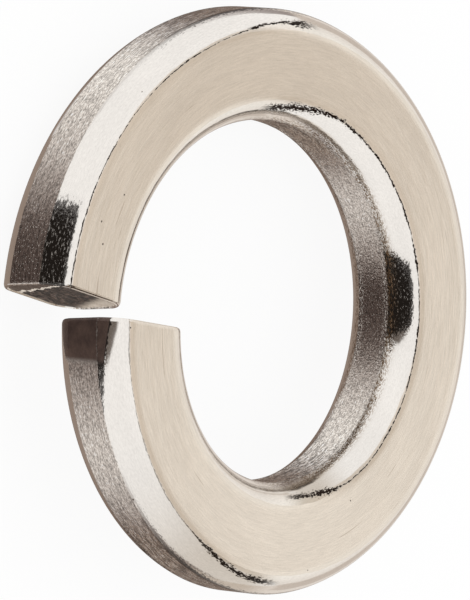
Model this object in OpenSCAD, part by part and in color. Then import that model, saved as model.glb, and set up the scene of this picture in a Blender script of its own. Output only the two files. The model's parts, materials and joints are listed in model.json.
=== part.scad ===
// Spring lock washer for a 3/4 in bolt: one left-hand turn of flat-rolled spring
// wire, cut through, with its two ends standing apart along the bore.
// Millimetres. The bore runs along +Z and the slit is at -Y.

/* [Wire] */
// Diameter of the bore
bore_d = 19.4; // [12:0.1:26]
// Width of the wire across the ring, from bore to rim
wire_w = 6; // [4:0.1:9]
// Thickness of the wire along the bore
wire_t = 4.8; // [3.5:0.1:7]

/* [Rounded edges] */
// Reach of each rounded edge over the flat face
edge_in = 1.55; // [0.6:0.05:1.9]
// Reach of each rounded edge down the rim or the bore
edge_down = 1.35; // [0.5:0.05:1.7]
// Angle between a rounded edge and the wall where the two meet
edge_start = 20; // [5:1:40]

/* [Coil and cut] */
// Height between the two ends, which is the lead of the coil
rise = 4.4; // [1:0.1:8]
// Width of the slit where it opens into the bore, square to its faces
slit = 1.2; // [0.5:0.1:3]
// Angle between the slit's two faces, which spread towards the rim
slit_flare = 6; // [0:0.5:12]
// Angle of the slit to the radial line, seen from above
slit_skew = 10; // [0:0.5:20]
// Angle of the slit to the bore, seen from outside
slit_lean = 5; // [0:0.5:12]

/* [Hidden] */

bore_r = bore_d / 2;
rim_r = bore_r + wire_w;
mid_r = bore_r + wire_w / 2;
half_t = wire_t / 2;
coil_h = wire_t + rise;
// Facets in each rounded edge, and stations along the turn
arc_steps = 5;
turn_steps = 72;
// Half angle left open between the swept ends, which the slit then takes away
seam = 0.3;
// What the cutting solids run past the wire on every side
past = 2;

// Station i of a rounded edge: [reach in from the wall, reach down from the face]
function edge_point(i) =
    let (a = edge_start + (90 - edge_start) * i / arc_steps)
    [edge_in * (1 - cos(a) / cos(edge_start)),
     edge_down * (1 - sin(a)) / (1 - sin(edge_start))];

// The first facet of each edge runs on past the wall and meets its mirror image
// half-way down, so that the wall itself can be turned true afterwards
first = edge_point(1);
ridge = first[0] * (half_t - edge_down) / (edge_down - first[1]);

// Upper half of the wire's section, from rim to bore, as [radius, height]
upper = concat(
    [for (i = [1 : arc_steps]) [rim_r - edge_point(i)[0], half_t - edge_point(i)[1]]],
    [for (i = [arc_steps : -1 : 1]) [bore_r + edge_point(i)[0], half_t - edge_point(i)[1]]]);
section = concat(
    [[rim_r + ridge, 0]], upper,
    [[bore_r - ridge, 0]], [for (i = [len(upper) - 1 : -1 : 0]) [upper[i][0], -upper[i][1]]]);

// Height of the wire's centre line, turn degrees on from the slit
function centre_z(turn) = half_t + rise * (1 - turn / 360);

// A point of the section, set on the helix. Every station leans and is skewed as the
// slit is, so that the first and the last lie together in the middle of the slit.
function coil_point(turn, p) =
    let (out = p[0] - mid_r,
         up = centre_z(turn) + p[1] - coil_h / 2,
         shift = out * tan(slit_skew) + up * tan(slit_lean),
         at = turn - shift / p[0] * 180 / PI)
    [p[0] * sin(at), -p[0] * cos(at), centre_z(at) + p[1]];

module wire() {
    n = len(section);
    turns = [for (k = [0 : turn_steps]) seam + (360 - 2 * seam) * k / turn_steps];
    points = [for (turn = turns) for (p = section) coil_point(turn, p)];
    sides = [for (k = [0 : turn_steps - 1]) for (i = [0 : n - 1])
        let (a = k * n + i, b = k * n + (i + 1) % n)
        for (side = [[a, a + n, b + n], [a, b + n, b]]) side];
    high_end = [for (i = [0 : n - 1]) i];
    low_end = [for (i = [n - 1 : -1 : 0]) turn_steps * n + i];
    polyhedron(points, concat(sides, [high_end, low_end]), convexity = 6);
}

// The sheared slit: its high side is flat along Y before the slit is skewed and leant,
// and its low side spreads away from that
module slit_cut() {
    bore_y = wire_w / 2;
    function low_side(y) = -slit / 2 - (bore_y - y) * tan(slit_flare);
    inner = bore_y + past;
    outer = -bore_y - past;
    translate([0, -mid_r, coil_h / 2])
    rotate([0, -slit_lean, -slit_skew])
    linear_extrude(coil_h + 2 * past, center = true)
    polygon([[slit / 2, inner], [low_side(inner), inner],
             [low_side(outer), outer], [slit / 2, outer]]);
}

module lock_washer() {
    color("tan")
    difference() {
        intersection() {
            wire();
            translate([0, 0, -past]) cylinder(r = rim_r, h = coil_h + 2 * past, $fn = 180);
        }
        translate([0, 0, -past]) cylinder(r = bore_r, h = coil_h + 2 * past, $fn = 180);
        slit_cut();
    }
}

lock_washer();
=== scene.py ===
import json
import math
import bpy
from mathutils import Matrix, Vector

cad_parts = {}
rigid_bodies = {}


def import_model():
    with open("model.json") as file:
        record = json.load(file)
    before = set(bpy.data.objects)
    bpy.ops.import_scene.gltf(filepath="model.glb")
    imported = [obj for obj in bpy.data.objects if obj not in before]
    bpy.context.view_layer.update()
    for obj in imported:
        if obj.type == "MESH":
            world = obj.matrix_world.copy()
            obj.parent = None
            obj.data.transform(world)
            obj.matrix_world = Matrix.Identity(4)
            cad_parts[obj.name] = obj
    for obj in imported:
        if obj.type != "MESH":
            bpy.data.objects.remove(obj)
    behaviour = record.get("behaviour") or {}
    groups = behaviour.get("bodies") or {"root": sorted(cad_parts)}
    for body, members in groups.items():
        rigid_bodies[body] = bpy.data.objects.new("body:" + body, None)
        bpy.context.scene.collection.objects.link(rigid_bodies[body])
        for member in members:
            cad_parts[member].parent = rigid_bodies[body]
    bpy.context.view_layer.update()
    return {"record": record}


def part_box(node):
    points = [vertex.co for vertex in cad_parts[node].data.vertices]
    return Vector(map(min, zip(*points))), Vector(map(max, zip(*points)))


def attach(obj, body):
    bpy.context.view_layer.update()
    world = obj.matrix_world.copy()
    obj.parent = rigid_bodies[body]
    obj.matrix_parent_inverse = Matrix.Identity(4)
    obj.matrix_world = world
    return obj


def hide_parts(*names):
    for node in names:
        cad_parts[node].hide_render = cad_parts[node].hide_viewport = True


bl_info = {
    "name": "Spring lock washer",
    "version": (1, 0, 0),
    "blender": (4, 5, 0),
    "location": "View3D > Sidebar > Lock washer",
    "description": "Builds a split spring lock washer and its plain studio",
    "category": "Object",
}

from types import SimpleNamespace

import bpy
from mathutils import Matrix, Vector

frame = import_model()

NODE = "lock_washer"
WIRE = "wire"  # each point's place in millimetres on the wire laid out straight
MM = 0.001
WELD = 0.0005 * MM  # how near two points are one point
ARRIS = 0.2 * MM  # rounding of the outline of each cut end
SHORTEST = 0.01 * MM  # an edge under this would fold over when a cut end is inset
TEARING = 0.05 * MM  # how far at most a point in a cut end's torn middle is thrown
COIL_STEPS = 240  # along each half of the coil, 0.2 mm apart at the rim
EDGE_SEGMENTS = 20  # round the quarter ellipse of each rounded edge
FLAT_CUTS = 17  # across each flat side, about as close as the edge's segments
SHARP = math.radians(12)  # faces that turn by more than this meet in a sharp edge
FLOOR_SIZE = 12  # metres
PAST_SLIT = math.radians(6)  # how far each half is coiled past the slit before it is cut

# The bore is the record's mount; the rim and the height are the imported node's own box.
NODE_LOW, NODE_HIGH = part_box(NODE)
BORE = frame["record"]["mounts"][0]["dims"]["r_mm"] * MM
RIM = (NODE_HIGH.x - NODE_LOW.x) / 2
HEIGHT = NODE_HIGH.z - NODE_LOW.z
THICKNESS = 4.8 * MM
EDGE_IN = 1.55 * MM
EDGE_DOWN = 1.35 * MM

# The wire's section in millimetres from its middle, as the finish reads it.
COIL_RADIUS = (BORE + RIM) / 2 / MM
HALF_WIDTH = (RIM - BORE) / 2 / MM
HALF_THICKNESS = THICKNESS / 2 / MM
WALL_TOP = HALF_THICKNESS - EDGE_DOWN / MM  # where the rim and the bore wall end
CREASE = HALF_WIDTH + EDGE_DOWN / MM  # the same place, going round from the face's middle

SMOOTH = {"interpolation_type": "SMOOTHSTEP"}
LENGTH = {"subtype": "DISTANCE", "unit": "LENGTH"}
ANGLE = {"subtype": "ANGLE", "unit": "ROTATION"}
COLOUR = {"subtype": "COLOR", "size": 4, "min": 0, "max": 1}

# Each pattern's size in millimetres along, across and up the wire, its detail and its
# roughness. The rolls' marks, the grit and the dents are taken to be 0.01 to 0.03 mm wide,
# which is too fine to show, so they are drawn several times as coarse. Nearly all of what
# such a noise gives, from 0 to 1, lies between 0.3 and 0.7.
ROLLED_PATTERNS = {
    "wander": ((1.1, 1.1, 1.1), 5, 0.7),  # how far a border strays
    "gaps": ((1.7, 1.7, 1.7), 2, 0.5),  # where a border is broken
    "patches": ((5.0, 1.4, 1.4), 3, 0.6),  # where tumbling wore more or less
    "lines": ((1.0, 0.07, 0.07), 2, 0.6),  # marks of the rolls
    "scratches": ((4.5, 0.17, 0.17), 1, 0.5),  # longer and deeper ones
    "streaks": ((0.5, 0.125, 0.125), 3, 0.7),  # drag marks on a smooth wall
    "tears": ((0.6, 0.11, 0.11), 2, 0.7),  # skin that stretched and cracked on a rough wall
    "strands": ((0.22, 0.067, 0.067), 2, 0.6),  # broken skin between the tears
    "grain": ((0.14, 0.083, 0.083), 1, 0.5),  # dents of the grit
    "flecks": ((0.14, 0.067, 0.067), 1, 0.5),  # grime held in them, and painted shade in the crease
    "sparkle": ((0.077, 0.077, 0.077), 1, 0.5),  # painted glints, pale specks for facets that catch the light
}
SHEARED_PATTERNS = {
    "ridges": ((0.33, 0.5, 0.14), 3, 0.7),  # torn in rows from the bore to the rim
}
PIT_SPACING = (2.0, 1.7, 1.7)  # millimetres between pits, which are 0.1 mm wide

# How light the surroundings under the floor are, by degrees round from -Y towards +X.
UNDERSIDE = (
    (-180, 0.3), (-149, 0.26), (-137, 0.42), (-125, 0.66), (-113, 0.9),
    (-101, 1.0), (-89, 0.94), (-77, 0.8), (-65, 0.76), (-53, 0.5),
    (-41, 0.28), (-29, 0.1), (6, 0.05), (19, 0.09), (23, 0.22),
    (30, 0.35), (42, 0.52), (54, 0.72), (66, 0.74), (78, 0.66),
    (90, 0.46), (102, 0.36), (126, 0.22), (138, 0.22), (150, 0.3),
    (180, 0.3),
)


def linear(value):
    """An sRGB hex colour as the linear RGBA that a shader takes."""
    parts = [int(value[i : i + 2], 16) / 255 for i in (1, 3, 5)]
    return tuple(
        c / 12.92 if c <= 0.04045 else ((c + 0.055) / 1.055) ** 2.4 for c in parts
    ) + (1.0,)


class WasherSizes(bpy.types.PropertyGroup):
    bore: bpy.props.FloatProperty(
        name="Bore radius",
        description="Radius of the hole, from the packed record",
        default=BORE,
        **LENGTH,
    )
    rim: bpy.props.FloatProperty(
        name="Rim radius",
        description="Radius of the rim, from the packed node's box",
        default=RIM,
        **LENGTH,
    )
    thickness: bpy.props.FloatProperty(
        name="Wire thickness",
        description="Thickness of the flat-rolled wire along the bore",
        default=THICKNESS,
        **LENGTH,
    )
    height: bpy.props.FloatProperty(
        name="Coil height",
        description="Height of the coil with its ends standing apart",
        default=HEIGHT,
        **LENGTH,
    )
    edge_in: bpy.props.FloatProperty(
        name="Edge over the face",
        description="Reach of each rounded edge over the flat face",
        default=EDGE_IN,
        **LENGTH,
    )
    edge_down: bpy.props.FloatProperty(
        name="Edge down the wall",
        description="Reach of each rounded edge down the rim or the bore",
        default=EDGE_DOWN,
        **LENGTH,
    )
    edge_start: bpy.props.FloatProperty(
        name="Edge start",
        description="How far round its curve each rounded edge leaves the wall",
        default=math.radians(20),
        **ANGLE,
    )
    slit: bpy.props.FloatProperty(
        name="Slit",
        description="Width of the slit where it opens into the bore",
        default=1.2 * MM,
        **LENGTH,
    )
    slit_flare: bpy.props.FloatProperty(
        name="Slit flare",
        description="Angle between the slit's two faces",
        default=math.radians(6),
        **ANGLE,
    )
    slit_skew: bpy.props.FloatProperty(
        name="Slit skew",
        description="Angle of the slit to the radial line, seen from above",
        default=math.radians(10),
        **ANGLE,
    )
    slit_lean: bpy.props.FloatProperty(
        name="Slit lean",
        description="Angle of the slit to the bore, seen from outside",
        default=math.radians(5),
        **ANGLE,
    )


class WasherFinish(bpy.types.PropertyGroup):
    face: bpy.props.FloatVectorProperty(
        name="Flat face",
        description="Colour of the flat faces, left by the rolls",
        **COLOUR,
        default=linear("#e7dfd5"),
    )
    edge: bpy.props.FloatVectorProperty(
        name="Rounded edge",
        description="Colour of the bright rounded edges",
        **COLOUR,
        default=linear("#f0ebe5"),
    )
    wall: bpy.props.FloatVectorProperty(
        name="Rim and bore",
        description="Colour of the rim and the bore wall",
        **COLOUR,
        default=linear("#ddd5cc"),
    )
    cut: bpy.props.FloatVectorProperty(
        name="Sheared end",
        description="Colour of the slit's sheared faces",
        **COLOUR,
        default=linear("#5a4d46"),
    )


class StudioSetup(bpy.types.PropertyGroup):
    floor: bpy.props.FloatVectorProperty(
        name="Floor",
        description="Colour of the plain floor",
        **COLOUR,
        default=linear("#ffffff"),
    )
    panel: bpy.props.FloatVectorProperty(
        name="Diffuser",
        description="Colour of the warm diffuser behind the washer",
        **COLOUR,
        default=linear("#fdfbf6"),
    )
    azimuth: bpy.props.FloatProperty(
        name="Camera azimuth",
        description="How far round the camera stands from the slit's side, towards -X",
        default=math.radians(-6.54),
        **ANGLE,
    )
    elevation: bpy.props.FloatProperty(
        name="Camera elevation",
        description="How high above level the camera stands",
        default=math.radians(42.23),
        **ANGLE,
    )
    roll: bpy.props.FloatProperty(
        name="Camera roll",
        description="How far the camera is rolled on its side",
        default=math.radians(94.87),
        **ANGLE,
    )
    aim: bpy.props.FloatVectorProperty(
        name="Camera aim",
        description="The point at the middle of the picture",
        default=(0.019 * MM, -0.676 * MM, 3.862 * MM),
        subtype="TRANSLATION",
        unit="LENGTH",
    )
    distance: bpy.props.FloatProperty(
        name="Camera distance",
        description="Distance from the camera to the point it aims at",
        default=471 * MM,
        **LENGTH,
    )
    lens: bpy.props.FloatProperty(
        name="Lens",
        description="Focal length of the camera",
        default=525.9,
        subtype="DISTANCE_CAMERA",
        unit="CAMERA",
    )


def deselect():
    """Nothing is selected, so that an operator meets only what is added next."""
    bpy.ops.object.select_all(action="DESELECT")


def pick_faces(obj, wanted):
    """In edit mode, selects only the faces whose centre and normal are wanted."""
    bpy.ops.mesh.select_all(action="DESELECT")
    bpy.ops.mesh.select_mode(type="FACE")
    bpy.ops.object.mode_set(mode="OBJECT")
    for face in obj.data.polygons:
        face.select = wanted(face.center, face.normal)
    bpy.ops.object.mode_set(mode="EDIT")


def helix_height(sizes, turn):
    """Height of the wire's middle at a turn, in radians, from the slit's high side."""
    rise = sizes.height - sizes.thickness
    return sizes.thickness / 2 + rise * (1 - turn / math.tau)


def slit_planes(sizes):
    """Point and normal of the slit's high face and of its low face."""
    skewed = Matrix.Rotation(-sizes.slit_skew, 3, "Z")
    turned = skewed @ Matrix.Rotation(-sizes.slit_lean, 3, "Y")
    middle = Vector((0, -(sizes.bore + sizes.rim) / 2, sizes.height / 2))
    half_wire = (sizes.rim - sizes.bore) / 2
    high = middle + turned @ Vector((sizes.slit / 2, 0, 0))
    low = middle + turned @ Vector((-sizes.slit / 2, half_wire, 0))
    flare = sizes.slit_flare
    return (
        (high, turned @ Vector((1, 0, 0))),
        (low, turned @ Vector((math.cos(flare), -math.sin(flare), 0))),
    )


def wire_section(sizes, name):
    """The outline of the flat-rolled wire across its run, over the slit at -Y. Its edges
    are quarter ellipses that start a little way round, so they meet the walls in a crease."""
    wall_overhang = sizes.edge_in / math.cos(sizes.edge_start) - sizes.edge_in
    across = sizes.edge_in + wall_overhang
    down = sizes.edge_down / (1 - math.sin(sizes.edge_start))
    half_wire = (sizes.rim - sizes.bore) / 2
    deselect()
    bpy.ops.mesh.primitive_plane_add(
        size=1, location=(0, 0, 0), rotation=(0, math.pi / 2, 0)
    )
    wire = bpy.context.object
    wire.name = name
    bpy.ops.object.transform_apply()
    bpy.ops.object.mode_set(mode="EDIT")
    bpy.ops.mesh.select_all(action="SELECT")
    # A round bevel on a squeezed section is an ellipse once the section is let out again.
    squeeze = across / down
    bpy.ops.transform.resize(
        value=(1, 2 * (half_wire + wall_overhang) / squeeze, sizes.thickness),
        center_override=(0, 0, 0),
    )
    bpy.ops.mesh.bevel(
        offset=down,
        offset_type="OFFSET",
        segments=EDGE_SEGMENTS,
        profile=0.5,
        affect="VERTICES",
    )
    bpy.ops.transform.resize(value=(1, squeeze, 1), center_override=(0, 0, 0))
    for side in (-1, 1):
        bpy.ops.mesh.select_all(action="SELECT")
        bpy.ops.mesh.bisect(
            plane_co=(0, side * half_wire, 0),
            plane_no=(0, side, 0),
            clear_outer=True,
            threshold=WELD,
        )
    # Only the flat sides have edges longer than 0.4 mm.
    bpy.ops.mesh.select_mode(type="EDGE")
    bpy.ops.mesh.select_all(action="DESELECT")
    bpy.ops.object.mode_set(mode="OBJECT")
    for edge in wire.data.edges:
        start, end = (wire.data.vertices[i].co for i in edge.vertices)
        edge.select = (start - end).length > 0.4 * MM
    bpy.ops.object.mode_set(mode="EDIT")
    bpy.ops.mesh.subdivide(number_cuts=FLAT_CUTS)
    bpy.ops.mesh.select_all(action="SELECT")
    bpy.ops.mesh.delete(type="ONLY_FACE")
    bpy.ops.mesh.select_all(action="SELECT")
    bpy.ops.transform.translate(value=(0, -(sizes.bore + sizes.rim) / 2, 0))
    bpy.ops.object.mode_set(mode="OBJECT")
    return wire


def coil_half(sizes, name, finishes, first, last, plane, clear_high):
    """Half the coil, from one turn to another, cut off by a face of the slit."""
    wire = wire_section(sizes, name)
    wire.rotation_euler.z = first
    wire.location.z = helix_height(sizes, first)
    bpy.ops.object.transform_apply()
    bpy.ops.object.modifier_add(type="SCREW")
    screw = wire.modifiers[-1]
    screw.axis = "Z"
    screw.angle = last - first
    screw.screw_offset = helix_height(sizes, last) - helix_height(sizes, first)
    screw.steps = screw.render_steps = COIL_STEPS
    screw.use_smooth_shade = True
    bpy.ops.object.modifier_apply(modifier=screw.name)
    for finish in finishes:
        wire.data.materials.append(finish)
    bpy.ops.object.mode_set(mode="EDIT")
    pick_faces(wire, lambda centre, normal: centre.y < 0)
    point, facing = plane
    into = facing if clear_high else -facing
    bpy.ops.mesh.bisect(
        plane_co=point + into * ARRIS,
        plane_no=facing,
        use_fill=True,
        threshold=WELD,
        clear_inner=clear_high,
        clear_outer=not clear_high,
    )
    # Only the cut's own faces lie flat in its plane.
    pick_faces(
        wire,
        lambda centre, normal: centre.y < 0
        and abs((centre - point).dot(into) - ARRIS) < 10 * WELD
        and abs(normal.dot(into)) > 0.999,
    )
    bpy.ops.mesh.remove_doubles(threshold=SHORTEST)
    bpy.ops.mesh.separate(type="SELECTED")
    bpy.ops.object.mode_set(mode="OBJECT")
    end = next(obj for obj in bpy.context.selected_objects if obj is not wire)
    shear_end(end)
    deselect()
    end.select_set(True)
    wire.select_set(True)
    bpy.context.view_layer.objects.active = wire
    bpy.ops.object.join()
    note_wire(sizes, wire, (first + last) / 2)
    return wire


def shear_end(end):
    """Gives a cut end its rounded arris, burnished lip, burr and torn middle."""
    deselect()
    bpy.context.view_layer.objects.active = end
    bpy.ops.object.mode_set(mode="EDIT")
    bpy.ops.mesh.select_mode(type="FACE")
    bpy.ops.mesh.select_all(action="SELECT")
    # In from the outline and out along the wire: three steps up the arris, the lip, and
    # a step up and down over the burr.
    for thickness, depth in (
        (0.01, 0.07),
        (0.03, 0.08),
        (0.04, 0.05),
        (0.08, 0),
        (0.05, 0.02),
        (0.05, -0.07),
    ):
        bpy.ops.mesh.inset(
            thickness=thickness * MM, depth=depth * MM, use_even_offset=False
        )
    end.active_material_index = 1
    bpy.ops.object.material_slot_assign()
    bpy.ops.mesh.select_mode(type="VERT")
    bpy.ops.object.vertex_group_add()
    bpy.ops.object.vertex_group_assign()
    # Torn in ridges from the bore to the rim: rows lie close up the cut, far along it.
    low, high = NODE_LOW.z, NODE_HIGH.z
    for normal, start, length, step in (
        (Vector((0, 0, 1)), low, high - low, 0.16 * MM),
        (Vector((0, 1, 0)), -RIM, RIM - BORE, 0.7 * MM),
    ):
        for k in range(1, round(length / step)):
            bpy.ops.object.vertex_group_select()
            bpy.ops.mesh.bisect(
                plane_co=normal * (start + k * step),
                plane_no=normal,
                threshold=WELD,
            )
            bpy.ops.object.vertex_group_assign()
    bpy.ops.mesh.select_all(action="DESELECT")
    bpy.ops.object.vertex_group_select()
    bpy.ops.mesh.select_less()
    bpy.ops.transform.vertex_random(offset=TEARING, uniform=0, normal=1, seed=7)
    bpy.ops.object.vertex_group_remove()
    bpy.ops.object.mode_set(mode="OBJECT")


def note_wire(sizes, wire, middle):
    """Stores where each point lies along, across and up the wire if it were straight."""
    radius = (sizes.bore + sizes.rim) / 2
    places = []
    for vertex in wire.data.vertices:
        x, y, z = vertex.co
        turn = math.atan2(x, -y)
        turn += math.tau * round((middle - turn) / math.tau)
        places += (
            turn * radius / MM,
            (math.hypot(x, y) - radius) / MM,
            (z - helix_height(sizes, turn)) / MM,
        )
    noted = wire.data.attributes.new(WIRE, "FLOAT_VECTOR", "POINT")
    noted.data.foreach_set("vector", places)


def node(tree, kind, inputs=(), out=0, **settings):
    """Adds a node and gives one of its outputs. Its inputs are given in order or by name,
    and one that is another node's output is linked."""
    made = tree.nodes.new(kind)
    for name, value in settings.items():
        setattr(made, name, value)
    pairs = inputs.items() if isinstance(inputs, dict) else enumerate(inputs)
    for key, value in pairs:
        if isinstance(value, bpy.types.NodeSocket):
            tree.links.new(value, made.inputs[key])
        else:
            made.inputs[key].default_value = value
    return made.outputs[out]


def new_steel(name, patterns):
    """A new material with its patterns laid on the wire. It holds where a point lies in
    millimetres: along the wire from the slit's high side, across it from its middle
    towards the rim (side), and up from its middle (lift)."""
    material = bpy.data.materials.new(name)
    material.use_nodes = True
    tree = material.node_tree
    steel = SimpleNamespace(
        material=material, tree=tree, shader=tree.nodes["Principled BSDF"]
    )
    steel.wire = node(
        tree,
        "ShaderNodeAttribute",
        out="Vector",
        attribute_type="GEOMETRY",
        attribute_name=WIRE,
    )
    places = node(tree, "ShaderNodeSeparateXYZ", (steel.wire,)).node.outputs
    steel.along, steel.side, steel.lift = places
    steel.noise = {}
    for pattern, (size, detail, roughness) in patterns.items():
        scale = [1 / length for length in size]
        place = node(tree, "ShaderNodeMapping", {"Vector": steel.wire, "Scale": scale})
        inputs = {"Vector": place, "Scale": 1, "Detail": detail, "Roughness": roughness}
        steel.noise[pattern] = node(tree, "ShaderNodeTexNoise", inputs)
    return steel


def find_zones(steel):
    """Tells the flat face, the rounded edge and the rim or bore wall apart, each with a
    border that strays a little."""
    tree = steel.tree
    steel.across = node(tree, "ShaderNodeMath", (steel.side,), operation="ABSOLUTE")
    steel.up = node(tree, "ShaderNodeMath", (steel.lift,), operation="ABSOLUTE")
    # How far round the outline a point is from the middle of the face.
    reach = node(tree, "ShaderNodeMath", (steel.across, steel.up), operation="SUBTRACT")
    steel.reach = node(tree, "ShaderNodeMath", (reach, HALF_THICKNESS))
    steel.wander = node(
        tree, "ShaderNodeMapRange", (steel.noise["wander"], 0.25, 0.75, -0.045, 0.045)
    )
    steel.ragged = node(
        tree, "ShaderNodeMapRange", (steel.noise["flecks"], 0.3, 0.7, -0.025, 0.025)
    )
    edge_at = node(tree, "ShaderNodeMath", (steel.across, steel.wander))
    wall_at = node(tree, "ShaderNodeMath", (steel.up, steel.ragged))
    steel.wall_at = node(tree, "ShaderNodeMath", (wall_at, steel.wander))
    zones = {
        "face": (edge_at, HALF_WIDTH - 1.1, HALF_WIDTH - 1.14),
        "flat": (edge_at, HALF_WIDTH - 1.26, HALF_WIDTH - 1.4),
        "edge": (steel.across, HALF_WIDTH - 0.95, HALF_WIDTH - 0.65),
        "wall": (steel.wall_at, WALL_TOP + 0.05, WALL_TOP - 0.05),
        "above": (steel.lift, 0.0, 0.3),
        "past_slit": (steel.along, 8, 14),
        "late": (steel.along, 34, 46),
        "burnished_end": (steel.along, 2.0, 1.6),
    }
    for name, (value, start, end) in zones.items():
        zone = node(tree, "ShaderNodeMapRange", (value, start, end, 0, 1), **SMOOTH)
        setattr(steel, name, zone)


def find_push(steel):
    """Tells how far the rounded edge and the wall face -Y, the side of the camera and the
    front card: most at the slit on the rim's side, and most across from the slit on the
    bore's side. It places the painted reflections and the painted shade; where it is high the
    wall is streaky, and elsewhere torn."""
    tree = steel.tree
    outside = node(tree, "ShaderNodeMath", (steel.side,), operation="SIGN")
    steel.rim_side = node(tree, "ShaderNodeMath", (outside, 0.0), operation="MAXIMUM")
    # The facing is greatest 10 degrees before the slit's high side on the rim, and a degree
    # short of the place across from it in the bore.
    offset = node(
        tree, "ShaderNodeMapRange", (outside, -1, 1, math.radians(1), math.radians(10))
    )
    turn = node(
        tree,
        "ShaderNodeMath",
        (steel.along, 1 / COIL_RADIUS, offset),
        operation="MULTIPLY_ADD",
    )
    towards = node(tree, "ShaderNodeMath", (turn,), operation="COSINE")
    steel.outside = outside
    steel.pushed = node(tree, "ShaderNodeMath", (towards, outside), operation="MULTIPLY")
    steel.calm = node(tree, "ShaderNodeMapRange", (steel.pushed, 0.3, 0.8, 0, 1), **SMOOTH)
    steel.clean = node(tree, "ShaderNodeMath", (steel.calm, outside), operation="MULTIPLY")


def mark_seam(steel):
    """The seam where the face meets the edge, a shallow groove in the relief, with painted
    reflection in its colour: a broken dark line, and a band of black flecks that runs down
    the edge where it faces -Y only a little."""
    tree = steel.tree
    seam_at = node(
        tree,
        "ShaderNodeMapRange",
        (steel.pushed, 0, 0.5, HALF_WIDTH - 0.4, HALF_WIDTH - 1.05),
        **SMOOTH,
    )
    off = node(tree, "ShaderNodeMath", (steel.reach, seam_at), operation="SUBTRACT")
    off = node(tree, "ShaderNodeMath", (off, steel.wander))
    off = node(tree, "ShaderNodeMath", (off,), operation="ABSOLUTE")
    # It is wide where the edge faces -Y only a little, and narrow again on the rim's last
    # stretch.
    held = node(tree, "ShaderNodeMath", (steel.late, steel.outside), operation="MULTIPLY")
    held = node(
        tree, "ShaderNodeMath", (held, 0.13, steel.pushed), operation="MULTIPLY_ADD"
    )
    least = node(tree, "ShaderNodeMix", {0: steel.rim_side, 2: 0.085, 3: 0.05})
    wide = node(tree, "ShaderNodeMapRange", (held, 0.15, 0.5, 0.35, least), **SMOOTH)
    gap = node(tree, "ShaderNodeMapRange", (steel.noise["gaps"], 0.38, 0.62, 0.5, 1.3))
    wide = node(tree, "ShaderNodeMath", (wide, gap), operation="MULTIPLY")
    off = node(tree, "ShaderNodeMath", (off, wide), operation="DIVIDE")
    seam = node(
        tree,
        "ShaderNodeMath",
        (off, -0.26, steel.noise["strands"]),
        operation="MULTIPLY_ADD",
    )
    seam = node(tree, "ShaderNodeMapRange", (seam, 0.32, 0.39, 0, 1), **SMOOTH)
    ended = node(tree, "ShaderNodeMapRange", (steel.pushed, -0.1, 0.02, 0, 1), **SMOOTH)
    faint = node(tree, "ShaderNodeMapRange", (steel.along, 8, 14, 0.5, 1), **SMOOTH)
    for share in (ended, faint):
        seam = node(tree, "ShaderNodeMath", (seam, share), operation="MULTIPLY")
    steel.seam = seam


def mark_crease(steel):
    """Dark flecks in the crease where the edge meets the wall and a thin dark line along the
    top of the rim, partly grime and partly painted crease shade, and brown freckles in a
    fringe above the bore."""
    tree = steel.tree
    crease = node(
        tree, "ShaderNodeMath", (steel.up, WALL_TOP + 0.03), operation="SUBTRACT"
    )
    crease = node(tree, "ShaderNodeMath", (crease,), operation="ABSOLUTE")
    grime = node(
        tree,
        "ShaderNodeMath",
        (crease, -0.9, steel.noise["flecks"]),
        operation="MULTIPLY_ADD",
    )
    grime = node(tree, "ShaderNodeMapRange", (grime, 0.36, 0.44, 0, 1), **SMOOTH)

    line = node(
        tree, "ShaderNodeMath", (steel.wall_at, WALL_TOP - 0.05), operation="SUBTRACT"
    )
    line = node(tree, "ShaderNodeMath", (line,), operation="ABSOLUTE")
    line = node(tree, "ShaderNodeMapRange", (line, 0.2, 0.1, 0, 1), **SMOOTH)
    kept = node(tree, "ShaderNodeMapRange", (steel.pushed, -0.1, 0.15, 0.25, 1), **SMOOTH)
    over = node(tree, "ShaderNodeMapRange", (steel.lift, 0.0, 0.3, 0.2, 1), **SMOOTH)
    for share in (steel.rim_side, kept, over):
        line = node(tree, "ShaderNodeMath", (line, share), operation="MULTIPLY")

    grime = node(tree, "ShaderNodeMath", (grime, line), operation="MAXIMUM")
    grime = node(tree, "ShaderNodeMix", {0: steel.clean, 2: grime, 3: 0.0})
    patchy = node(tree, "ShaderNodeMapRange", (steel.noise["gaps"], 0.4, 0.6, 0.35, 0.1))
    patchy = node(tree, "ShaderNodeMix", {0: steel.rim_side, 2: patchy, 3: 0.9})
    steel.grime = node(tree, "ShaderNodeMath", (grime, patchy), operation="MULTIPLY")

    fringe = node(tree, "ShaderNodeMapRange", (steel.up, 1.75, 1.2, 0, 0.9), **SMOOTH)
    for elsewhere in (steel.rim_side, steel.wall):
        fringe = node(tree, "ShaderNodeMix", {0: elsewhere, 2: fringe, 3: 0.0})
    freckle = node(
        tree, "ShaderNodeMapRange", (steel.noise["strands"], 0.47, 0.57, 0, 1), **SMOOTH
    )
    steel.freckle = node(tree, "ShaderNodeMath", (freckle, fringe), operation="MULTIPLY")


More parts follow.
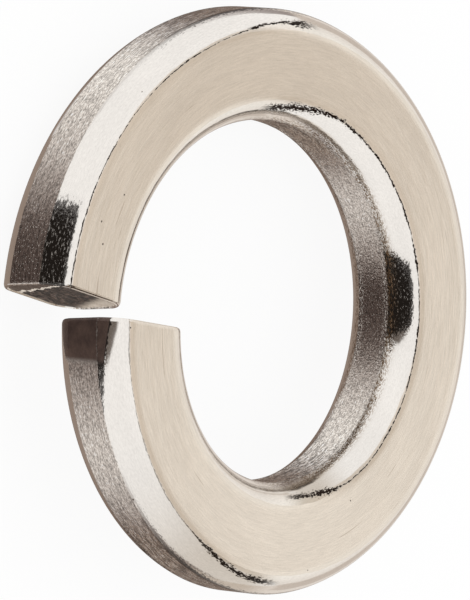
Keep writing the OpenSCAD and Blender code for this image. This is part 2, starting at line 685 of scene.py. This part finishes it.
def mark_stain(steel):
    """Painted reflection: a black patch on the upper edges only, where they face -Y most,
    which stands in for a dark card mirrored there. In the bore it narrows towards the face,
    and by the slit's high side it keeps to the foot of the edge and runs out along it."""
    tree = steel.tree
    taper = node(
        tree, "ShaderNodeMapRange", (steel.reach, CREASE, CREASE - 2.05, 0.008, -0.014)
    )
    taper = node(tree, "ShaderNodeMix", {0: steel.rim_side, 2: taper, 3: 0.0})
    near = node(tree, "ShaderNodeMath", (steel.pushed, taper))
    near = node(tree, "ShaderNodeMapRange", (near, 0.962, 0.99, 0, 1), **SMOOTH)
    near = node(tree, "ShaderNodeMath", (near, steel.past_slit), operation="MULTIPLY")
    foot = node(
        tree, "ShaderNodeMath", (steel.along, -0.26, steel.reach), operation="MULTIPLY_ADD"
    )
    foot = node(
        tree, "ShaderNodeMapRange", (foot, CREASE - 1.3, CREASE - 0.75, 0, 1), **SMOOTH
    )
    foot = node(tree, "ShaderNodeMath", (foot, steel.rim_side), operation="MULTIPLY")
    spread = node(tree, "ShaderNodeMath", (near, foot), operation="MAXIMUM")
    for share in (steel.edge, steel.above):
        spread = node(tree, "ShaderNodeMath", (spread, share), operation="MULTIPLY")
    steel.spread = node(tree, "ShaderNodeMix", {0: steel.wall, 2: spread, 3: 0.0})
    stain = node(
        tree,
        "ShaderNodeMath",
        (steel.noise["strands"], 1.8, steel.spread),
        operation="MULTIPLY_ADD",
    )
    stain = node(tree, "ShaderNodeMapRange", (stain, 1.25, 1.5, 0, 1), **SMOOTH)
    held = node(tree, "ShaderNodeMapRange", (steel.spread, 0.0, 0.2, 0, 0.93), **SMOOTH)
    steel.stain = node(tree, "ShaderNodeMath", (stain, held), operation="MULTIPLY")


def mark_burnish(steel):
    """The first 1.8 mm from the slit's high side, which the shear rubbed brown: the wall,
    a little of the edge above it, and the foot of the upper edge."""
    tree = steel.tree
    slope = node(
        tree, "ShaderNodeMath", (steel.along, 0.36, steel.up), operation="MULTIPLY_ADD"
    )
    slope = node(tree, "ShaderNodeMath", (slope, steel.ragged))
    burnt = node(
        tree, "ShaderNodeMapRange", (slope, WALL_TOP + 1.0, WALL_TOP + 0.85, 0, 1), **SMOOTH
    )
    burnt = node(
        tree, "ShaderNodeMath", (burnt, steel.burnished_end), operation="MULTIPLY"
    )
    top_edge = node(tree, "ShaderNodeMix", {0: steel.wall, 2: steel.above, 3: 0.0})
    steel.wall_burnt = burnt
    burnt = node(tree, "ShaderNodeMix", {0: top_edge, 2: burnt, 3: 0.0})
    sooty = node(tree, "ShaderNodeMapRange", (steel.spread, 0.7, 0.85, 0, 1), **SMOOTH)
    sooty = node(
        tree, "ShaderNodeMath", (sooty, steel.burnished_end), operation="MULTIPLY"
    )
    steel.burnt = node(tree, "ShaderNodeMath", (burnt, sooty), operation="MAXIMUM")


def mark_dents(steel):
    """Pits and scratches, and painted glints: pale specks that stand in for light caught by
    facets, all over the dull walls, along the brink of the bore, and through the painted dark
    patch."""
    tree = steel.tree
    spacing = [1 / length for length in PIT_SPACING]
    place = node(tree, "ShaderNodeMapping", {"Vector": steel.wire, "Scale": spacing})
    nearest = node(tree, "ShaderNodeTexVoronoi", {"Vector": place, "Scale": 1})
    steel.pit = node(tree, "ShaderNodeMapRange", (nearest, 0.018, 0.034, 1, 0), **SMOOTH)
    facets = {
        "scratch": ("scratches", 0.73, 0.78, 0.35),
        "glint": ("sparkle", 0.62, 0.7, 0.4),
        "dense": ("strands", 0.56, 0.68, 0.42),
        "on_brink": ("strands", 0.53, 0.63, 1),
    }
    made = {}
    for name, (pattern, start, end, most) in facets.items():
        inputs = (steel.noise[pattern], start, end, 0, most)
        made[name] = node(tree, "ShaderNodeMapRange", inputs, **SMOOTH)
    steel.scratch = node(
        tree, "ShaderNodeMath", (made["scratch"], steel.flat), operation="MULTIPLY"
    )
    brink = node(
        tree,
        "ShaderNodeMapRange",
        (steel.up, WALL_TOP - 0.5, WALL_TOP - 0.1, 0, 0.7),
        **SMOOTH,
    )
    brink = node(tree, "ShaderNodeMath", (brink, steel.wall), operation="MULTIPLY")
    brink = node(tree, "ShaderNodeMix", {0: steel.rim_side, 2: brink, 3: 0.0})
    brink = node(tree, "ShaderNodeMath", (brink, made["on_brink"]), operation="MULTIPLY")
    dense = node(tree, "ShaderNodeMath", (made["dense"], steel.spread), operation="MULTIPLY")
    dense = node(tree, "ShaderNodeMix", {0: steel.burnished_end, 2: dense, 3: 0.0})
    glint = node(tree, "ShaderNodeMath", (made["glint"], steel.wall), operation="MULTIPLY")
    for facet in (dense, brink):
        glint = node(tree, "ShaderNodeMath", (glint, facet), operation="MAXIMUM")
    steel.glint = node(tree, "ShaderNodeMix", {0: steel.burnt, 2: glint, 3: 0.0})


def rolled_shade(steel):
    """How light the steel is against its zone's own colour: fine lines on the face, a
    brushed edge, and a wall that is streaky where it faces -Y most and torn elsewhere, and
    there darker, the bore more than the rim, as painted shade."""
    tree = steel.tree
    shades = {
        "worn": ("patches", 0.3, 0.7, 0.95, 1.03),
        "lined": ("lines", 0.3, 0.7, 0.945, 1.055),
        "drawn": ("lines", 0.3, 0.7, 0.82, 1.16),
        "fine": ("grain", 0.3, 0.7, 0.975, 1.025),
        "dotted": ("grain", 0.3, 0.7, 0.55, 1.47),
        "brushed": ("strands", 0.3, 0.7, 0.93, 1.03),
        "streaky": ("streaks", 0.36, 0.64, 0.7, 1.25),
        "torn": ("tears", 0.42, 0.6, 0.4, 1.9),
    }
    made = {}
    for name, (pattern, *span) in shades.items():
        made[name] = node(tree, "ShaderNodeMapRange", (steel.noise[pattern], *span))
    for name in ("streaky", "torn"):
        made[name].node.interpolation_type = "SMOOTHSTEP"
    # Painted shade: the wall is darker where it faces -Y less, the bore more than the rim.
    wall = node(tree, "ShaderNodeMix", {0: steel.rim_side, 2: 0.78, 3: 0.92})
    wall = node(tree, "ShaderNodeMix", {0: steel.calm, 2: wall, 3: 1.0})
    streaky = node(
        tree, "ShaderNodeMix", {0: steel.calm, 2: made["torn"], 3: made["streaky"]}
    )
    for share in (made["dotted"], streaky, made["drawn"]):
        wall = node(tree, "ShaderNodeMath", (wall, share), operation="MULTIPLY")
    wall = node(tree, "ShaderNodeMix", {0: steel.wall_burnt, 2: wall, 3: 1.0})
    shade = node(
        tree, "ShaderNodeMix", {0: steel.face, 2: made["brushed"], 3: made["lined"]}
    )
    shade = node(tree, "ShaderNodeMath", (shade, made["fine"]), operation="MULTIPLY")
    shade = node(tree, "ShaderNodeMix", {0: steel.wall, 2: shade, 3: wall})
    return node(tree, "ShaderNodeMath", (shade, made["worn"]), operation="MULTIPLY")


def bright_edge(steel):
    """How much of the rounded edge takes its light colour: all but where it faces -Y only a
    little, where the seam runs down over it on the first half of the turn. There it keeps a
    greyer colour, which is painted shade."""
    tree = steel.tree
    in_bore = node(tree, "ShaderNodeMapRange", (steel.pushed, 0.2, 0.5, 0, 1), **SMOOTH)
    in_bore = node(tree, "ShaderNodeMix", {0: steel.rim_side, 2: in_bore, 3: 0.0})
    away = node(tree, "ShaderNodeMapRange", (steel.pushed, 0.1, -0.1, 0, 1), **SMOOTH)
    bright = steel.calm
    for part in (steel.late, in_bore, away):
        bright = node(tree, "ShaderNodeMath", (bright, part), operation="MAXIMUM")
    return bright


def rolled_relief(steel):
    """The lines, dents, pits and seam as relief, in millimetres."""
    tree = steel.tree
    foot = node(tree, "ShaderNodeMapRange", (steel.up, 1.3, 1.7, 1, 0), **SMOOTH)
    foot = node(tree, "ShaderNodeMix", {0: steel.clean, 2: foot, 3: 0.0})
    rough_edge = node(tree, "ShaderNodeMath", (steel.spread, foot), operation="MAXIMUM")
    height = 0.0
    for pattern, where, depth in (
        (steel.noise["lines"], steel.flat, 0.004),
        (steel.noise["grain"], steel.wall, 0.01),
        (steel.noise["grain"], rough_edge, 0.012),
        (steel.noise["patches"], 1.0, 0.03),
        (steel.pit, 1.0, -0.03),
        (steel.seam, 1.0, -0.015),
    ):
        laid = node(tree, "ShaderNodeMath", (pattern, where), operation="MULTIPLY")
        height = node(
            tree, "ShaderNodeMath", (laid, depth, height), operation="MULTIPLY_ADD"
        )
    return node(tree, "ShaderNodeBump", {"Height": height, "Distance": MM})


def rolled_steel(finish):
    """Stainless spring steel, rolled flat, coiled and tumbled. To the eye it has warm flat
    faces with fine lines along the wire, bright rounded edges, and a darker grainy rim and
    bore that mirror what is about them."""
    steel = new_steel("Stainless steel, rolled and tumbled", ROLLED_PATTERNS)
    tree, shader = steel.tree, steel.shader
    find_zones(steel)
    find_push(steel)
    mark_seam(steel)
    mark_crease(steel)
    mark_stain(steel)
    mark_burnish(steel)
    mark_dents(steel)

    scorched = node(
        tree, "ShaderNodeMapRange", (steel.noise["wander"], 0.3, 0.7, 0, 1)
    )
    scorched = node(
        tree,
        "ShaderNodeMix",
        {0: scorched, 6: linear("#443632"), 7: linear("#66534a")},
        out=2,
        data_type="RGBA",
    )
    zones = (
        (bright_edge(steel), tuple(finish.edge)),
        (steel.face, tuple(finish.face)),
        (steel.wall, tuple(finish.wall)),
    )
    marks = (
        # Painted reflection: a dark card mirrored on the upper edges.
        (steel.stain, linear("#2b2624")),
        # Painted highlight: pale glints.
        (steel.glint, linear("#efe9e1")),
        (steel.scratch, linear("#8a7663")),
        (steel.freckle, linear("#82694f")),
        # Partly grime, partly painted crease shade.
        (steel.grime, linear("#241b17")),
        # Painted reflection: the seam's dark line and flecks.
        (steel.seam, linear("#20160f")),
        (steel.burnt, scorched),
        (steel.pit, linear("#4a3a2c")),
    )
    colour = linear("#cdc3b7")  # the rounded edge's painted shade, where it faces -Y only a little
    for mask, over in zones:
        inputs = {0: mask, 6: colour, 7: over}
        colour = node(tree, "ShaderNodeMix", inputs, out=2, data_type="RGBA")
    inputs = {"Color": colour, "Value": rolled_shade(steel)}
    colour = node(tree, "ShaderNodeHueSaturation", inputs)
    for mask, over in marks:
        inputs = {0: mask, 6: colour, 7: over}
        colour = node(tree, "ShaderNodeMix", inputs, out=2, data_type="RGBA")
    tree.links.new(colour, shader.inputs["Base Color"])

    # A painted glint is made less metallic, so it shows pale, and the rubbed end is half
    # oxide.
    dull = node(tree, "ShaderNodeMath", (steel.burnt, 0.5), operation="MULTIPLY")
    dull = node(tree, "ShaderNodeMath", (dull, steel.glint), operation="MAXIMUM")
    metal = node(tree, "ShaderNodeMath", (1.0, dull), operation="SUBTRACT")
    tree.links.new(metal, shader.inputs["Metallic"])

    rough = 0.1
    for mask, value in (
        (steel.flat, 0.25),
        (steel.wall, 0.16),
        (steel.glint, 0.5),
        (steel.burnt, 0.25),
    ):
        rough = node(tree, "ShaderNodeMix", {0: mask, 2: rough, 3: value})
    tree.links.new(rough, shader.inputs["Roughness"])
    tree.links.new(rolled_relief(steel), shader.inputs["Normal"])
    return steel.material


def sheared_steel(finish):
    """The same steel where the wire was sheared off. To the eye it has a dark burnished lip
    at the rim, a burr along it with a painted highlight, and a dull torn middle that pales
    towards the bore."""
    steel = new_steel("Stainless steel, sheared", SHEARED_PATTERNS)
    tree, shader = steel.tree, steel.shader
    ridges = steel.noise["ridges"]
    shade = node(tree, "ShaderNodeMapRange", (ridges, 0.45, 0.7, 0.3, 2.8), **SMOOTH)
    # The lip is as wide as the blade went in before the wire tore: wider at the bottom.
    torn_at = node(
        tree, "ShaderNodeMath", (ridges, 0.4, steel.side), operation="MULTIPLY_ADD"
    )
    torn_at = node(
        tree, "ShaderNodeMath", (steel.lift, -0.25, torn_at), operation="MULTIPLY_ADD"
    )
    corner = node(
        tree, "ShaderNodeMath", (steel.lift, -0.55, steel.side), operation="MULTIPLY_ADD"
    )
    zones = {
        "lip": (torn_at, HALF_WIDTH - 1.05, HALF_WIDTH - 1.0),
        "burr": (torn_at, HALF_WIDTH - 1.3, HALF_WIDTH - 1.25),
        "foot": (steel.lift, 0.4 - HALF_THICKNESS, 0.15 - HALF_THICKNESS),
        "bore_side": (corner, 1.5 - HALF_WIDTH, 0.5 - HALF_WIDTH),
    }
    made = {}
    for name, (value, start, end) in zones.items():
        made[name] = node(tree, "ShaderNodeMapRange", (value, start, end, 0, 1), **SMOOTH)
    pale = node(
        tree, "ShaderNodeMath", (made["foot"], made["bore_side"]), operation="MAXIMUM"
    )
    colour = node(
        tree, "ShaderNodeHueSaturation", {"Color": tuple(finish.cut), "Value": shade}
    )
    metal = 1.0
    for mask, over, metallic in (
        (pale, linear("#f6e9d9"), 0.2),
        # Painted highlight: the burr is near white and not metallic.
        (made["burr"], linear("#fff3e4"), 0.0),
        (made["lip"], linear("#66574d"), 1.0),
    ):
        inputs = {0: mask, 6: colour, 7: over}
        colour = node(tree, "ShaderNodeMix", inputs, out=2, data_type="RGBA")
        metal = node(tree, "ShaderNodeMix", {0: mask, 2: metal, 3: metallic})
    tree.links.new(colour, shader.inputs["Base Color"])
    tree.links.new(metal, shader.inputs["Metallic"])
    shader.inputs["Roughness"].default_value = 0.4
    height = node(tree, "ShaderNodeMath", (ridges, 0.09), operation="MULTIPLY")
    bump = node(tree, "ShaderNodeBump", {"Height": height, "Distance": MM})
    tree.links.new(bump, shader.inputs["Normal"])
    return steel.material


def floor_card(studio):
    """White card, matt. To the eye it glows just white, less the washer's soft shadow."""
    material = bpy.data.materials.new("Card, matt white")
    material.use_nodes = True
    tree = material.node_tree
    shader = tree.nodes["Principled BSDF"]
    shader.inputs["Base Color"].default_value = tuple(studio.floor)
    shader.inputs["Roughness"].default_value = 1
    shader.inputs["Specular IOR Level"].default_value = 0
    ray = node(tree, "ShaderNodeLightPath").node.outputs
    seen = ray["Is Camera Ray"]
    for kind in ("Is Glossy Ray", "Is Transmission Ray"):
        seen = node(tree, "ShaderNodeMath", (seen, ray[kind]), operation="MAXIMUM")
    glow = node(
        tree, "ShaderNodeEmission", {"Color": tuple(studio.floor), "Strength": 1}
    )
    share = node(tree, "ShaderNodeMath", (seen, 0.9), operation="MULTIPLY")
    mixed = node(tree, "ShaderNodeMixShader", (share, shader.outputs[0], glow))
    tree.links.new(mixed, tree.nodes["Material Output"].inputs["Surface"])
    return material


def height_share(tree, place, top):
    """How high a place is, from 0 at the floor to 1 at the top."""
    height = node(tree, "ShaderNodeSeparateXYZ", (place,), out="Z")
    return node(tree, "ShaderNodeMath", (height, top), operation="DIVIDE")


def width_share(tree, place, width):
    """How far towards +X a place is, from 0 to 1 over a width about the middle."""
    side = node(tree, "ShaderNodeSeparateXYZ", (place,), out="X")
    return node(
        tree, "ShaderNodeMath", (side, 1 / width, 0.5), operation="MULTIPLY_ADD"
    )


def turn_share(tree, place, whole):
    """How far round from +Y a place is, going by -X, -Y and +X, from 0 to 1."""
    x, y, _ = node(tree, "ShaderNodeSeparateXYZ", (place,)).node.outputs
    behind = node(tree, "ShaderNodeMath", (y, -1), operation="MULTIPLY")
    turn = node(tree, "ShaderNodeMath", (x, behind), operation="ARCTAN2")
    return node(
        tree, "ShaderNodeMath", (turn, 1 / whole, 0.5), operation="MULTIPLY_ADD"
    )


def depth_share(tree, place, level):
    """How near level a place below the washer is: the sine of its angle, raised by the
    share that stands for level."""
    towards = node(tree, "ShaderNodeVectorMath", (place,), operation="NORMALIZE")
    sine = node(tree, "ShaderNodeSeparateXYZ", (towards,), out="Z")
    return node(tree, "ShaderNodeMath", (sine, level))


def lit_card(name, share, size, stops):
    """A card that gives colours of its own, whatever falls on it, graded through the stops
    by one of the shares above."""
    material = bpy.data.materials.new(name)
    material.use_nodes = True
    tree = material.node_tree
    tree.nodes.remove(tree.nodes["Principled BSDF"])
    place = node(tree, "ShaderNodeTexCoord", out="Object")
    colour = node(tree, "ShaderNodeValToRGB", (share(tree, place, size),))
    elements = colour.node.color_ramp.elements
    elements.remove(elements[1])
    elements[0].position, elements[0].color = stops[0]
    for position, shown in stops[1:]:
        elements.new(position).color = shown
    glow = node(tree, "ShaderNodeEmission", {"Color": colour, "Strength": 1})
    tree.links.new(glow, tree.nodes["Material Output"].inputs["Surface"])
    return material


def only_reflected(name, material):
    """Makes what was added last a card that only the metal shows, out of the camera's sight
    and casting nothing."""
    obj = bpy.context.object
    obj.name = name
    bpy.ops.object.transform_apply()
    obj.data.materials.append(material)
    obj.visible_camera = obj.visible_diffuse = obj.visible_shadow = False
    obj.visible_transmission = obj.visible_volume_scatter = False


def upright_card(name, away, foot, head, heights, material):
    """An upright card across Y. The sides of its foot and of its head, and how high they
    are, are shares of how far away it is."""
    reach = abs(away)
    deselect()
    bpy.ops.mesh.primitive_plane_add(
        size=2, location=(0, away, 0), rotation=(math.pi / 2, 0, 0)
    )
    made = bpy.context.object
    bpy.ops.object.transform_apply()
    bpy.ops.object.mode_set(mode="EDIT")
    bpy.ops.mesh.select_mode(type="VERT")
    # A plane's first two corners are its foot, 1 m down, and its last two its head.
    for corners, sides, height, level in (
        ((0, 1), foot, heights[0], -1),
        ((2, 3), head, heights[1], 1),
    ):
        bpy.ops.mesh.select_all(action="DESELECT")
        bpy.ops.object.mode_set(mode="OBJECT")
        for corner in made.data.vertices:
            corner.select = corner.index in corners
        bpy.ops.object.mode_set(mode="EDIT")
        wide = (sides[1] - sides[0]) / 2 * reach
        bpy.ops.transform.resize(value=(wide, 1, 1), center_override=(0, away, 0))
        middle = (sides[0] + sides[1]) / 2 * reach
        bpy.ops.transform.translate(value=(middle, 0, height * reach - level))
    bpy.ops.object.mode_set(mode="OBJECT")
    only_reflected(name, material)


def round_wall(name, radius, top, bottom, material):
    """A round wall that stands under the floor about the washer."""
    deselect()
    bpy.ops.mesh.primitive_cylinder_add(
        vertices=96,
        radius=radius,
        depth=top - bottom,
        end_fill_type="NOTHING",
        location=(0, 0, (top + bottom) / 2),
    )
    only_reflected(name, material)


def disc(name, towards, away, radius, material):
    """A round card that faces the washer."""
    deselect()
    bpy.ops.mesh.primitive_circle_add(
        vertices=64,
        radius=radius,
        fill_type="NGON",
        location=towards.normalized() * away,
        rotation=towards.to_track_quat("Z", "Y").to_euler(),
    )
    only_reflected(name, material)


def set_cards(studio):
    """Stands the cards that the metal mirrors, in metres: a grey one on the camera's side,
    a tall warm diffuser behind, and brown and shaded ones under the floor."""
    away = 2.0
    white = (1, 1, 1, 1)
    grey = linear("#6f6761")
    brown = linear("#84746a")
    front = lit_card(
        "Grey card", width_share, 2 * away, ((0.21, white), (0.22, grey), (1.0, grey))
    )
    warm = lit_card(
        "Warm diffuser",
        height_share,
        4 * away,
        (
            (0.0, linear("#d2c8bf")),
            (0.01, linear("#f0ebe5")),
            (0.06, linear("#f7f3ee")),
            (0.12, tuple(studio.panel)),
            (0.19, linear("#fdf9f3")),
            (0.27, linear("#dbd2c7")),
            (0.5, linear("#e1d8cd")),
            (1.0, linear("#ede3d9")),
        ),
    )
    under = lit_card(
        "Shaded card",
        turn_share,
        math.tau,
        # A darker card is a little warmer.
        [
            ((turn + 180) / 360, (light**0.9, light, light**1.03, 1))
            for turn, light in UNDERSIDE
        ],
    )
    dusk = lit_card(
        "Brown card",
        depth_share,
        1.0,
        (
            (0.1, linear("#9a8b81")),
            (0.2, brown),
            (0.36, brown),
            (0.44, linear("#d9d0c8")),
            (0.55, linear("#eae3dc")),
        ),
    )
    upright_card("Grey_front", -away, (-0.62, 0.53), (-0.66, 0.04), (-0.4, 2.6), front)
    upright_card("Warm_panel", away, (-0.62, 0.96), (-1.62, 1.39), (-0.45, 3.9), warm)
    bowl_radius, bowl_top, bowl_bottom = 5.0, -1.1, -12.0
    round_wall("Underside", bowl_radius, bowl_top, bowl_bottom, under)
    disc("Underside_base", Vector((0, 0, -1)), -bowl_bottom, bowl_radius, dusk)
    low_back = Vector((0.288, 0.72, -0.632))
    back_away = 2.9
    back_radius = back_away * math.tan(math.radians(44))
    disc("Brown_back", low_back, back_away, back_radius, dusk)


def lay_floor(studio):
    """Lays the floor. The metal shows the cards under it in its place."""
    deselect()
    bpy.ops.mesh.primitive_plane_add(size=FLOOR_SIZE, location=(0, 0, 0))
    floor = bpy.context.object
    floor.name = "Floor"
    floor.data.materials.append(floor_card(studio))
    floor.visible_glossy = False


def set_camera(scene, studio):
    """Sets the camera, rolled on its side, above the slit."""
    deselect()
    bpy.ops.object.camera_add()
    camera = bpy.context.object
    camera.name = "Camera"
    turned = (
        Matrix.Rotation(studio.azimuth, 4, "Z")
        @ Matrix.Rotation(math.pi / 2 - studio.elevation, 4, "X")
        @ Matrix.Rotation(studio.roll, 4, "Z")
    )
    back = turned.to_3x3() @ Vector((0, 0, 1))
    place = Vector(studio.aim) + back * studio.distance
    camera.matrix_world = Matrix.Translation(place) @ turned
    camera.data.lens = studio.lens
    camera.data.sensor_width = 36
    camera.data.clip_start = 0.01
    camera.data.clip_end = 100
    scene.camera = camera


class WASHER_OT_coil(bpy.types.Operator):
    """Models the split coil of flat-rolled wire and gives it its finish"""

    bl_idname = "washer.coil"
    bl_label = "Lock washer"

    def execute(self, context):
        sizes = context.scene.washer_sizes
        finish = context.scene.washer_finish
        high, low = slit_planes(sizes)
        steels = (rolled_steel(finish), sheared_steel(finish))
        halves = (
            coil_half(sizes, "Coil_high", steels, -PAST_SLIT, math.pi, high, True),
            coil_half(sizes, "Coil_low", steels, math.pi, math.tau + PAST_SLIT, low, False),
        )
        deselect()
        for half in halves:
            half.select_set(True)
        context.view_layer.objects.active = halves[0]
        bpy.ops.object.join()
        washer = context.object
        washer.name = washer.data.name = "Spring_lock_washer"
        bpy.ops.object.mode_set(mode="EDIT")
        bpy.ops.mesh.select_all(action="SELECT")
        bpy.ops.mesh.remove_doubles(threshold=WELD)
        bpy.ops.mesh.normals_make_consistent(inside=False)
        bpy.ops.object.mode_set(mode="OBJECT")
        bpy.ops.object.shade_smooth_by_angle(angle=SHARP)
        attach(washer, "root")
        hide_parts(NODE)
        return {"FINISHED"}


class WASHER_OT_studio(bpy.types.Operator):
    """Lays the plain floor, lights it softly and sets the camera"""

    bl_idname = "washer.studio"
    bl_label = "Studio"

    def execute(self, context):
        scene = context.scene
        studio = scene.washer_studio
        lay_floor(studio)
        world = bpy.data.worlds.new("Studio")
        world.use_nodes = True
        world.node_tree.nodes["Background"].inputs["Color"].default_value = (1, 1, 1, 1)
        scene.world = world
        set_cards(studio)
        set_camera(scene, studio)
        scene.view_settings.view_transform = "Standard"
        return {"FINISHED"}


class WASHER_PT_panel(bpy.types.Panel):
    """Lists the sizes, the colours and the two operators"""

    bl_idname = "WASHER_PT_panel"
    bl_label = "Lock washer"
    bl_space_type = "VIEW_3D"
    bl_region_type = "UI"
    bl_category = "Lock washer"

    def draw(self, context):
        layout = self.layout
        for group, operator in PANEL_ROWS:
            settings = getattr(context.scene, group)
            for name in settings.__annotations__:
                layout.prop(settings, name)
            if operator:
                layout.operator(operator)


PANEL_ROWS = (
    ("washer_sizes", None),
    ("washer_finish", "washer.coil"),
    ("washer_studio", "washer.studio"),
)
SETTINGS = {
    "washer_sizes": WasherSizes,
    "washer_finish": WasherFinish,
    "washer_studio": StudioSetup,
}
CLASSES = (
    WasherSizes,
    WasherFinish,
    StudioSetup,
    WASHER_OT_coil,
    WASHER_OT_studio,
    WASHER_PT_panel,
)


def register():
    for cls in CLASSES:
        bpy.utils.register_class(cls)
    for name, group in SETTINGS.items():
        setattr(bpy.types.Scene, name, bpy.props.PointerProperty(type=group))


def unregister():
    for name in SETTINGS:
        delattr(bpy.types.Scene, name)
    for cls in reversed(CLASSES):
        bpy.utils.unregister_class(cls)


def main():
    register()
    bpy.ops.washer.coil()
    bpy.ops.washer.studio()


if __name__ == "__main__":
    main()
